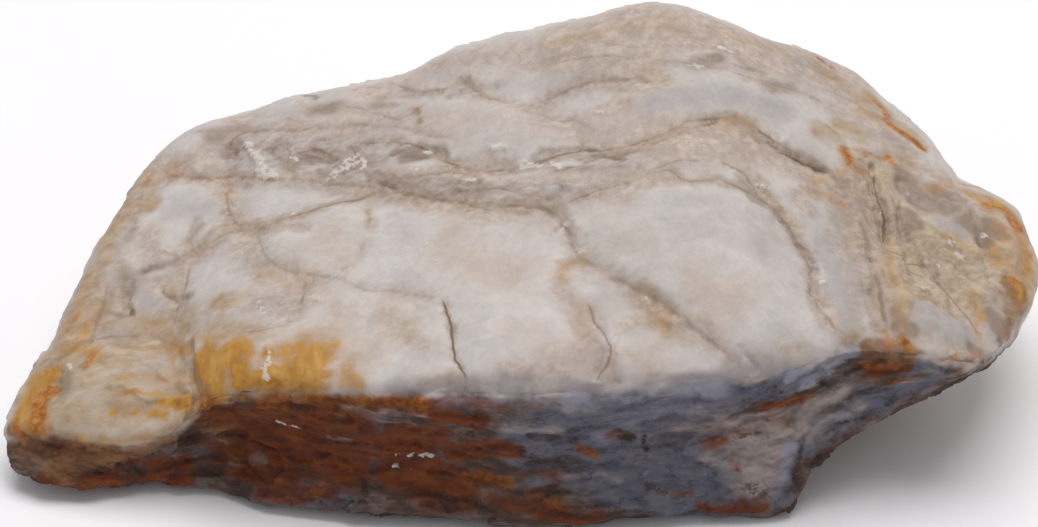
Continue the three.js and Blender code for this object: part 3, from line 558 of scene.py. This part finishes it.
def patch(points, skin, strokes):
    """How far each point belongs to the strokes: a stroke's strength on its line, 0 at twice its radius."""
    share = np.zeros(len(points))
    for radius, strength, *numbers in strokes:
        line, _ = skin.line(numbers, PATCH_STEP)
        reach = 2 * radius * PX
        near = within(points, line, reach)
        place = points[near]
        best = np.full(len(near), np.inf)
        for start, end in zip(line, line[1:]):
            along = end - start
            t = np.clip((place - start) @ along / (along @ along), 0, 1)
            best = np.minimum(best, np.linalg.norm(place - start - t[:, None] * along, axis=1))
        share[near] = np.maximum(share[near], strength * np.clip(1 - best / reach, 0, 1))
    return share


FAR = 9.0  # millimetres: seams are looked for no further than this
SEAM_DEPTH = 1.5  # millimetres above or below its line over which a seam is as strong as on it
SEAM_FADE = 0.08  # share of its length over which a seam fades at either end
SEAM_TIP = 0.015  # share of its length by which it is taken as longer, so that its tips show


def seam_field(points, skin, seams):
    """For each point: the signed and the plain distance to the nearest seam, and the seam's strength."""
    field = np.tile([FAR, FAR, 0.0], (len(points), 1))
    for strength, *numbers in seams:
        line, normals = skin.line(numbers, LINE_STEP)
        near = within(points, line, FAR)
        place = points[near]
        best = field[near]
        for i in range(len(line) - 1):
            start, along = line[i], line[i + 1] - line[i]
            normal = normals[i] + normals[i + 1]
            normal /= np.linalg.norm(normal)
            t = np.clip((place - start) @ along / (along @ along), 0, 1)
            away = place - start - t[:, None] * along
            above = away @ normal
            away -= above[:, None] * normal
            distance = np.linalg.norm(away, axis=1) + np.maximum(np.abs(above) - SEAM_DEPTH, 0)
            side = np.where(away @ np.cross(along, normal) < 0, -1, 1)
            share = (i + t) / (len(line) - 1)
            taper = strength * smoothstep(0, SEAM_FADE, np.minimum(share, 1 - share) + SEAM_TIP)
            closer = distance < best[:, 1]
            best[closer] = np.stack([side * distance, distance, taper], axis=1)[closer]
        field[near] = best
    return field


# ---- The stone's zones ----

SEAMS = {"bold": BOLD_SEAMS, "fine": FINE_SEAMS, "crack": CRACKS}
WANDER = [(6.0, 0.9), (2.0, 0.5)]  # how the painted lines and patches wander: size and reach, millimetres
WANDER_SEED = 40
SEAM_WANDER = 0.5  # the seams wander less
EDGE_RADIUS = 15  # pixels: how far the brow is rounded off
HIDDEN = (-0.2, 0.1)  # how far a normal turns to the camera: hidden up to the first, in view from the second
FRONT_BEGINS = (-1.6, 1.9)  # millimetres below the brow over which the front face begins
FRONT_ENDS = (0.1, 0.5)  # how far a normal turns to the back where the front face ends


def wandering(points, share=1.0):
    moved = points.copy()
    for size, reach in WANDER:
        for axis in range(3):
            moved[:, axis] += share * reach * noise(points, size, WANDER_SEED + axis)
    return moved


def zones(points, normals, skin):
    """For each point, its share in every zone and its place in the three seam fields."""
    x, y = pixels_of(points)
    below_brow = (y - np.interp(x, BROW[::2], BROW[1::2])) * PX
    below_brow += 0.9 * noise(points, 5, seed=3) + 0.5 * noise(points, 1.6, seed=4)
    away = CAMERA_AT - points
    facing = np.einsum("ij,ij->i", normals, away) / np.linalg.norm(away, axis=1)
    zone = {"hidden": 1 - smoothstep(*HIDDEN, facing)}
    zone["front"] = smoothstep(*FRONT_BEGINS, below_brow) * (1 - smoothstep(*FRONT_ENDS, normals[:, 1]))
    zone["edge"] = patch(points, skin, [(EDGE_RADIUS, 1.0, *BROW)])
    moved = wandering(points)
    for name, strokes in PATCHES.items():
        zone[name] = patch(moved, skin, strokes)
    moved = wandering(points, SEAM_WANDER)
    for name, seams in SEAMS.items():
        zone[name] = seam_field(moved, skin, seams)
    return zone


# ---- Relief: heights, sizes, widths and thicknesses are millimetres ----

RISING_FROM = 25.0  # along the stone: from here on the beds rise to the right
BED_SLOPE = 0.35
GROUND_FADE = (0.15, 1.6)  # relief comes in over these heights above the floor


def groove(field, depth, width):
    return -depth * field[:, 2] * np.exp(-(field[:, 1] / width) ** 2)


def terraces(points, thickness, seed):
    """Ledges of bedded rock: each bed stands out at its top and draws back to its bottom."""
    warp = 1.4 * noise(points * [1, 1, 0.3], 16, seed) + 0.5 * noise(points * [1, 1, 0.5], 4, seed + 1)
    rise = BED_SLOPE * np.maximum(points[:, 0] - RISING_FROM, 0)
    place = (points[:, 2] + warp - rise) / thickness
    share = place - np.floor(place)
    return smoothstep(0, 0.3, share) * share - 0.5


def unevenness(points, rough):
    """Swells and ripples of the whole stone, higher where it is rough."""
    swells = 0.34 * fractal(points, 10, octaves=3, seed=10)
    ripples = 0.09 * fractal(points, 2.2, octaves=2, seed=20)
    return swells * (0.6 + 0.4 * rough) + ripples * (0.35 + rough)


def seams_and_edges(points, zone):
    """Bold seams lie in low swells, fine seams and cracks in the flat. The brow is rounded off unevenly."""
    height = groove(zone["bold"], depth=-0.4, width=3) + groove(zone["bold"], depth=0.22, width=0.9)
    height += groove(zone["fine"], depth=0.12, width=0.8) + groove(zone["crack"], depth=0.18, width=0.4)
    height -= (1 + 0.5 * noise(points, 12, seed=80)) * zone["edge"] ** 2
    return height + 0.9 * smoothstep(0, 0.9, zone["ridge"]) - 0.9 * smoothstep(0, 0.9, zone["sink"])


def broken_front(points, zone):
    """Ledges and blocks of the dark face, calmer where it is slate or where pale sky light is painted."""
    ledges = 0.405 * terraces(points, 4.6, seed=60) + 0.198 * terraces(points, 1.7, seed=63)
    blocks = 0.75 * facets(points * [0.6, 1, 1], 5, seed=70)
    blocks += 0.35 * facets(points * [0.6, 1, 1.3], 2.1, seed=71)
    return (1 - 0.35 * np.minimum(zone["slate"] + zone["painted_sky_light"], 1)) * (ledges + blocks)


def broken_back(points):
    return 0.9 * facets(points, 9, seed=72) + 0.35 * facets(points, 3, seed=73)


def grains(points):
    """The crumbly surface of the sandy knob."""
    height = 0.14 * facets(points, 1.8, seed=74) + 0.2 * np.minimum(noise(points, 2.6, seed=75), 0)
    drawn_out = points * [1, 0.5, 1]
    return height + 0.3 * facets(drawn_out, 4, seed=81) + 0.5 * noise(drawn_out, 5, seed=79)


def streaked(points):
    """The long, torn grain of the bands."""
    streaks = noise(points * [0.4, 1.2, 1.2], 1.6, seed=76)
    return 0.25 * streaks + 0.3 * facets(points * [0.6, 1, 1], 2.2, seed=77)


def relief(points, zone):
    """How far each point stands out from the smooth form."""
    front, hidden, sand, band = zone["front"], zone["hidden"], zone["sand"], zone["band"]
    rough = np.clip(front + 0.8 * sand + 0.6 * band + 0.6 * hidden, 0, 1)
    height = unevenness(points, rough) + seams_and_edges(points, zone)
    height += front * broken_front(points, zone) + hidden * (1 - front) * broken_back(points)
    height += smoothstep(0.15, 0.6, sand) * grains(points) + smoothstep(0.25, 0.6, band) * streaked(points)
    height += 0.2 * smoothstep(0.4, 0.6, zone["frost"] * (1 + 0.8 * noise(points, 1.1, seed=78)))
    return height - 0.4 * smoothstep(0.4, 0.7, zone["dark"]) - 0.2 * smoothstep(0.4, 0.8, zone["murk"])


def carve(mesh, skin):
    points, normals = points_of(mesh), normals_of(mesh)
    height = relief(points, zones(points, normals, skin)) * smoothstep(*GROUND_FADE, points[:, 2])
    points = points + height[:, None] * normals
    points[:, 2] = np.maximum(points[:, 2], 0)
    set_points(mesh, points)


def thin_out(piece):
    piece.modifiers.new("triangles", "TRIANGULATE")
    thinner = piece.modifiers.new("thinner", "DECIMATE")
    thinner.ratio = FINAL_TRIANGLES / (2 * len(piece.data.polygons))
    bake_modifiers(piece)


# The zones that the material needs, three to an attribute of the mesh.
ATTRIBUTES = {
    "stains": ("ochre", "orange", "rust"),
    "grounds": ("slate", "sand", "band"),
    "spots": ("frost", "dark", "front"),
    "tones": ("tan", "murk", "pale"),
    "shades": ("brow_shade", "warm", "umber"),
    "others": ("painted_sky_light", "cool", "hidden"),
}


def store_zones(mesh, skin):
    zone = zones(points_of(mesh), normals_of(mesh), skin)
    fields = {name: np.stack([zone[part] for part in parts], axis=1) for name, parts in ATTRIBUTES.items()}
    fields.update({name: zone[name] for name in SEAMS})
    for name, values in fields.items():
        attribute = mesh.attributes.new(name, "FLOAT_VECTOR", "POINT")
        attribute.data.foreach_set("vector", values.astype(np.float32).ravel())


# ---- The stone's material ----


class Nodes:
    """Short names for building a material's node tree."""

    def __init__(self, name):
        self.material = bpy.data.materials.new(name)
        self.material.use_nodes = True
        self.tree = self.material.node_tree
        self.tree.nodes.clear()

    def add(self, kind, values=(), **settings):
        node = self.tree.nodes.new("ShaderNode" + kind)
        for name, value in settings.items():
            setattr(node, name, value)
        for socket, value in dict(values).items():
            if isinstance(value, bpy.types.NodeSocket):
                self.tree.links.new(value, node.inputs[socket])
            else:
                node.inputs[socket].default_value = value
        return node

    def math(self, operation, a, b=0.0):
        return self.add("Math", {0: a, 1: b}, operation=operation).outputs[0]

    def plus(self, a, b):
        return self.math("ADD", a, b)

    def times(self, a, b):
        return self.math("MULTIPLY", a, b)

    def step(self, value, low, high, to_low=0.0, to_high=1.0):
        """A soft step of the value from low to high."""
        values = {0: value, 1: low, 2: high, 3: to_low, 4: to_high}
        return self.add("MapRange", values, interpolation_type="SMOOTHSTEP").outputs[0]

    def mix(self, share, under, over, blend="MIX"):
        values = {0: share, 6: under, 7: over}
        return self.add("Mix", values, data_type="RGBA", blend_type=blend).outputs[2]

    def ramp(self, value, *stops):
        """Colours blended along a value, through stops of (value, colour)."""
        node = self.add("ValToRGB", {0: value})
        elements = node.color_ramp.elements
        while len(elements) < len(stops):
            elements.new(0.5)
        for element, (place, tone) in zip(elements, stops):
            element.position, element.color = place, tone
        return node.outputs[0]

    def placed(self, vector, factors, shift=0.0):
        values = {0: vector, 1: factors, 2: (shift, shift, shift)}
        return self.add("VectorMath", values, operation="MULTIPLY_ADD").outputs[0]

    def noise(self, at, size, detail=2, roughness=0.5, shift=0.0, output=0):
        values = {"Vector": self.placed(at, (1 / size,) * 3, shift), "Scale": 1.0, "Detail": detail,
                  "Roughness": roughness}
        return self.add("TexNoise", values, noise_dimensions="3D").outputs[output]

    def net(self, at, size, warp, shift=0.0):
        """Distance from the borders of a network of cells, in millimetres, with wandering borders."""
        wander = self.noise(at, size * 0.5, shift=shift + 5, output=1)
        moved = self.add("VectorMath", {0: wander, 1: (warp,) * 3, 2: at}, operation="MULTIPLY_ADD")
        values = {"Vector": self.placed(moved.outputs[0], (1 / size,) * 3, shift), "Scale": 1.0}
        node = self.add("TexVoronoi", values, feature="DISTANCE_TO_EDGE", voronoi_dimensions="3D")
        return self.times(node.outputs["Distance"], size)

    def attribute(self, name):
        """The three numbers of a mesh attribute."""
        vector = self.add("Attribute", attribute_name=name).outputs["Vector"]
        return self.add("SeparateXYZ", {0: vector}).outputs[:]


def colour(red, green, blue):
    """A linear colour with full alpha."""
    return (red, green, blue, 1.0)


WHITE = colour(0.65, 0.59, 0.56)
GREY_WHITE = colour(0.56, 0.50, 0.475)
CREAM = colour(0.58, 0.48, 0.41)
TAN = colour(0.49, 0.385, 0.325)
TAN_DARK = colour(0.42, 0.32, 0.26)
WARM_TAN = colour(0.5, 0.365, 0.24)
WARM_BROWN = colour(0.4, 0.265, 0.155)
COOL_GREY = colour(0.437, 0.4, 0.391)
# painted shade for the top just above the brow
BROW_SHADE_MAUVE = colour(0.33, 0.285, 0.285)
MURK = colour(0.26, 0.185, 0.135)
VEIN_HALO = colour(0.5, 0.395, 0.33)
VEIN_BROWN = colour(0.42, 0.315, 0.245)
VEIN = colour(0.23, 0.155, 0.105)
CRACK_LINE = colour(0.22, 0.15, 0.1)
BAND_DARK = colour(0.29, 0.215, 0.18)
BAND_GREY = colour(0.4, 0.325, 0.29)
SAND_LIGHT = colour(0.56, 0.455, 0.35)
SAND = colour(0.48, 0.37, 0.265)
SAND_DARK = colour(0.37, 0.27, 0.19)
SLATE_DARK = colour(0.105, 0.097, 0.115)
SLATE_BLUE = colour(0.14, 0.144, 0.196)
SLATE_GREY = colour(0.18, 0.168, 0.19)
# pale blue-grey: painted sky light on the front face and painted glints on the slate
PAINTED_LIGHT_BLUE_GREY = colour(0.35, 0.34, 0.4)
FRONT_BLACK = colour(0.07, 0.048, 0.042)
FRONT_BROWN = colour(0.115, 0.065, 0.048)
FRONT_GREY = colour(0.21, 0.16, 0.15)
RUST_DARK = colour(0.105, 0.03, 0.015)
RUST_RED = colour(0.175, 0.041, 0.011)
RUST_ORANGE = colour(0.235, 0.068, 0.018)
BUTTRESS = colour(0.44, 0.365, 0.34)
BUTTRESS_DARK = colour(0.33, 0.265, 0.245)
UMBER = colour(0.30, 0.155, 0.075)
UMBER_DARK = colour(0.16, 0.075, 0.035)
ORANGE_DEEP = colour(0.3, 0.095, 0.018)
ORANGE = colour(0.46, 0.17, 0.03)
ORANGE_PALE = colour(0.53, 0.27, 0.09)
OCHRE_DEEP = colour(0.36, 0.15, 0.02)
OCHRE = colour(0.5, 0.23, 0.028)
OCHRE_PALE = colour(0.58, 0.33, 0.09)
FROST_WHITE = colour(0.70, 0.65, 0.60)
DARK_BROWN = colour(0.05, 0.035, 0.03)

# Each kind of seam: its halo's and its core's width in millimetres, its core's colour and how strong that is.
SEAM_LOOKS = {
    "bold": (3.2, 0.7, VEIN, 0.75),
    "fine": (2.2, 0.5, VEIN, 0.75),
    "crack": (1.2, 0.35, CRACK_LINE, 1.0),
}
BEDDING = (0.5, 1, 1.3)  # the front's colours run along the stone and are flat
NOISE_RANGE = (0.32, 0.68)  # a noise node's usual values
GLOSS = {"IOR": 1.52, "Specular IOR Level": 0.15}


class Gypsum(Nodes):
    """The stone's material: colours laid over each other, each in the zone that the mesh stores for it."""

    def __init__(self):
        super().__init__("gypsum")
        self.zone = {}
        for name, parts in ATTRIBUTES.items():
            self.zone.update(zip(parts, self.attribute(name)))
        self.mm = self.placed(self.add("TexCoord").outputs["Object"], (1 / MM,) * 3)
        self.bedded = self.placed(self.mm, BEDDING)
        self.middle = self.noise(self.mm, 4, detail=3, roughness=0.6, shift=3)
        self.small = self.noise(self.mm, 1.4, detail=4, roughness=0.65, shift=5)
        self.breaks = self.noise(self.mm, 5, detail=3, roughness=0.6, shift=25)
        self.streaks = self.noise(self.placed(self.mm, (0.5, 1, 1)), 3.2, detail=4, roughness=0.6, shift=11)
        self.fans = self.noise(self.placed(self.mm, (1, 0.35, 0.6)), 2.4, detail=4, roughness=0.6, shift=29)
        self.beds = self.noise(self.bedded, 4.5, detail=4, roughness=0.6, shift=7)
        self.fine_beds = self.noise(self.bedded, 2.6, detail=4, roughness=0.6, shift=17)
        self.mottle = self.blend(self.small, self.middle, 0.5)

    def blend(self, a, b, share):
        """That share of a, with the rest from b."""
        return self.plus(self.times(a, share), self.times(b, 1 - share))

    def painted(self, under, zone, over, amount, rag, span, by=None):
        """A colour laid over a zone: none at the span's low share, all at its high one, ragged by a noise."""
        rags = self.step(self.middle if by is None else by, *NOISE_RANGE, 1 - rag, 1 + rag)
        share = self.step(self.times(self.zone[zone], rags), *span)
        return self.mix(self.times(share, amount), under, over)

    def pale_rock(self):
        """The cream and grey rock of the top and the back, with its tan, warm, banded and sandy parts."""
        base = self.ramp(self.noise(self.mm, 18), (0.36, GREY_WHITE), (0.5, WHITE), (0.74, CREAM))
        tan_noise = self.blend(self.mottle, self.streaks, 0.8)
        tan = self.ramp(tan_noise, (0.38, TAN_DARK), (0.5, TAN), (0.6, CREAM))
        base = self.painted(base, "tan", tan, 0.9, rag=0.4, span=(0.05, 0.7))
        warm = self.ramp(self.streaks, (0.36, WARM_BROWN), (0.52, WARM_TAN), (0.72, CREAM))
        base = self.painted(base, "warm", warm, 0.9, rag=0.35, span=(0.05, 0.65), by=self.breaks)
        net_amount = self.plus(self.times(self.zone["hidden"], 0.65), 0.1)
        net = self.times(self.step(self.net(self.mm, 17, warp=9, shift=2), 2.4, 0.2), net_amount)
        base = self.mix(net, base, VEIN_HALO)
        band = self.ramp(self.streaks, (0.4, BAND_DARK), (0.5, BAND_GREY), (0.66, GREY_WHITE))
        base = self.painted(base, "band", band, 0.8, rag=0.5, span=(0.15, 0.6))
        sand = self.ramp(self.mottle, (0.38, SAND_DARK), (0.47, SAND), (0.58, SAND_LIGHT))
        base = self.painted(base, "sand", sand, 0.8, rag=0.6, span=(0.15, 0.75), by=self.breaks)
        base = self.painted(base, "cool", COOL_GREY, 0.8, rag=0.3, span=(0.1, 0.7))
        return self.painted(base, "murk", MURK, 0.75, rag=0.5, span=(0.1, 0.7), by=self.mottle)

    def seams(self, base):
        """A wide brown halo and a thin dark core along each seam. The core has gaps, except in a crack."""
        halo_colour = self.ramp(self.small, (0.38, VEIN_BROWN), (0.56, VEIN_HALO))
        unbroken = self.step(self.blend(self.breaks, self.streaks, 0.6), 0.4, 0.62, 0.12, 1)
        for name, (halo_width, core_width, tone, share) in SEAM_LOOKS.items():
            signed, plain, strength = self.attribute(name)
            uneven = self.plus(plain, self.times(self.plus(self.middle, -0.5), 4))
            halo = self.times(self.step(uneven, halo_width, 0), self.times(strength, 0.9))
            base = self.mix(halo, base, halo_colour)
            wavy = self.plus(signed, self.times(self.plus(self.small, -0.5), 1.6 * core_width))
            core = self.step(self.math("ABSOLUTE", wavy), core_width, core_width * 0.1)
            core = self.times(self.times(core, self.step(plain, 1.6, 1.1)), self.times(strength, share))
            base = self.mix(core if name == "crack" else self.times(core, unbroken), base, tone)
        return base

    def front_face(self):
        """The dark face: slate and rust in beds, fractures, pale buttresses and small glints."""
        base = self.ramp(self.beds, (0.36, FRONT_BLACK), (0.48, FRONT_BROWN), (0.62, FRONT_GREY))
        slate = self.ramp(self.fine_beds, (0.34, SLATE_DARK), (0.46, SLATE_BLUE), (0.6, SLATE_GREY))
        base = self.painted(base, "slate", slate, 0.92, rag=0.5, span=(0.12, 0.55), by=self.beds)
        rust = self.ramp(self.fine_beds, (0.36, RUST_DARK), (0.52, RUST_RED), (0.68, RUST_ORANGE))
        base = self.painted(base, "rust", rust, 0.92, rag=0.5, span=(0.12, 0.55), by=self.beds)
        fractures = self.step(self.net(self.bedded, 3.2, warp=3, shift=3), 0.3, 0.03)
        fractures = self.times(fractures, self.step(self.breaks, 0.45, 0.6, 0, 0.45))
        base = self.mix(fractures, base, DARK_BROWN)
        pale = self.ramp(self.fine_beds, (0.36, BUTTRESS_DARK), (0.5, BUTTRESS))
        base = self.painted(base, "pale", pale, 0.9, rag=0.3, span=(0.05, 0.6), by=self.beds)
        # Painted highlight: small pale glints on the slate.
        glints = self.times(self.step(self.small, 0.62, 0.7), self.times(self.zone["slate"], 0.35))
        return self.mix(glints, base, PAINTED_LIGHT_BLUE_GREY)

    def stains(self, base):
        """Umber, ochre and orange iron stains, then the white flakes and the dark pits."""
        umber = self.ramp(self.fine_beds, (0.4, UMBER_DARK), (0.58, UMBER))
        base = self.painted(base, "umber", umber, 0.85, rag=0.5, span=(0.1, 0.75), by=self.beds)
        ochre = self.ramp(self.fans, (0.34, OCHRE_DEEP), (0.5, OCHRE), (0.68, OCHRE_PALE))
        base = self.painted(base, "ochre", ochre, 0.97, rag=0.35, span=(0.0, 0.7), by=self.fans)
        orange = self.ramp(self.small, (0.34, ORANGE_DEEP), (0.5, ORANGE), (0.66, ORANGE_PALE))
        orange_front = self.ramp(self.small, (0.4, RUST_RED), (0.6, RUST_ORANGE))
        orange = self.mix(self.times(self.zone["front"], 0.75), orange, orange_front)
        base = self.painted(base, "orange", orange, 0.93, rag=0.6, span=(0.1, 0.85))
        base = self.painted(base, "frost", FROST_WHITE, 0.8, rag=0.9, span=(0.25, 0.6), by=self.small)
        return self.painted(base, "dark", DARK_BROWN, 0.7, rag=0.9, span=(0.25, 0.75), by=self.small)

    def colours(self):
        base = self.seams(self.pale_rock())
        # Painted shade: mauve-grey darkens the top just above the brow, where it turns away from the light.
        base = self.painted(base, "brow_shade", BROW_SHADE_MAUVE, 0.85, rag=0.3, span=(0.05, 0.9))
        base = self.mix(self.step(self.zone["front"], 0.1, 0.9), base, self.front_face())
        # Painted light: paler blue-grey where sky light falls on the front face below the brow.
        base = self.painted(base, "painted_sky_light", PAINTED_LIGHT_BLUE_GREY, 0.8, rag=0.5, span=(0.1, 0.8), by=self.beds)
        base = self.stains(base)
        shade = self.step(self.mottle, 0.34, 0.66, 0.85, 0.99)
        grey = self.add("CombineXYZ", {0: shade, 1: shade, 2: shade}).outputs[0]
        return self.mix(1.0, base, grey, "MULTIPLY")

    def finish(self):
        """Joins the colours, the roughness and the fine grain to the surface."""
        front, sand, band, hidden = (self.zone[name] for name in ("front", "sand", "band", "hidden"))
        rough = self.math("MAXIMUM", self.math("MAXIMUM", front, sand), self.math("MAXIMUM", band, hidden))
        unevenness = self.times(self.plus(self.small, -0.5), 0.3)
        roughness = self.plus(self.step(rough, 0.3, 0.8, 0.5, 0.75), unevenness)
        grain = self.noise(self.mm, 0.9, detail=5, roughness=0.7, shift=21)
        strength = self.step(rough, 0.2, 0.8, 0.35, 1.0)
        bump = self.add("Bump", {"Height": grain, "Distance": 0.3 * MM, "Strength": strength}).outputs[0]
        looks = {"Base Color": self.colours(), "Roughness": roughness, "Normal": bump, **GLOSS}
        surface = self.add("BsdfPrincipled", looks)
        output = self.add("OutputMaterial", {"Surface": surface.outputs[0]})
        output.is_active_output = True
        return self.material


def stone():
    piece = fine_copy(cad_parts["gypsum_block"], "gypsum_stone")
    soften(piece.data)
    bpy.context.view_layer.update()
    skin = Skin(piece)
    carve(piece.data, skin)
    thin_out(piece)
    store_zones(piece.data, skin)
    piece.data.polygons.foreach_set("use_smooth", np.ones(len(piece.data.polygons), bool))
    piece.data.materials.append(Gypsum().finish())
    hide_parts("gypsum_block")
    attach(piece, "root")


# ---- Floor, light and camera, in metres ----

FLOOR_RADIUS = 6
FLOOR_TONE = colour(0.95, 0.93, 0.94)
SKY_TONE = colour(0.96, 0.98, 1.0)
SKY_STRENGTH = 0.43


def floor():
    bpy.ops.mesh.primitive_circle_add(vertices=96, radius=FLOOR_RADIUS, fill_type="NGON", location=(0, 0, 0))
    piece = bpy.context.object
    piece.name = "floor"
    n = Nodes("pale_floor")
    surface = n.add("BsdfPrincipled", {"Base Color": FLOOR_TONE, "Roughness": 0.9})
    n.add("OutputMaterial", {"Surface": surface.outputs[0]})
    piece.data.materials.append(n.material)


def softbox(name, at, size, watts):
    light = bpy.data.lights.new(name, "AREA")
    light.shape = "RECTANGLE"
    light.size, light.size_y = size
    light.energy = watts
    piece = bpy.data.objects.new(name, light)
    piece.location = at
    piece.rotation_euler = (-Vector(at)).to_track_quat("-Z", "Y").to_euler()
    bpy.context.scene.collection.objects.link(piece)


def studio():
    world = bpy.data.worlds.new("studio")
    world.use_nodes = True
    background = world.node_tree.nodes["Background"]
    background.inputs["Color"].default_value = SKY_TONE
    background.inputs["Strength"].default_value = SKY_STRENGTH
    bpy.context.scene.world = world
    softbox("key", at=(0.05, 0.2, 0.98), size=(0.9, 0.7), watts=7.8)


def camera():
    data = bpy.data.cameras.new("camera")
    data.lens, data.sensor_width = LENS, SENSOR
    data.clip_start, data.clip_end = 0.01, 20
    piece = bpy.data.objects.new("camera", data)
    turn = Matrix([RIGHT, UP, -FORWARD]).transposed()
    piece.matrix_world = Matrix.Translation(Vector(CAMERA_AT * MM)) @ turn.to_4x4()
    bpy.context.scene.collection.objects.link(piece)
    bpy.context.scene.camera = piece


bpy.context.scene.view_settings.view_transform = "Standard"
camera()
studio()
floor()
stone()
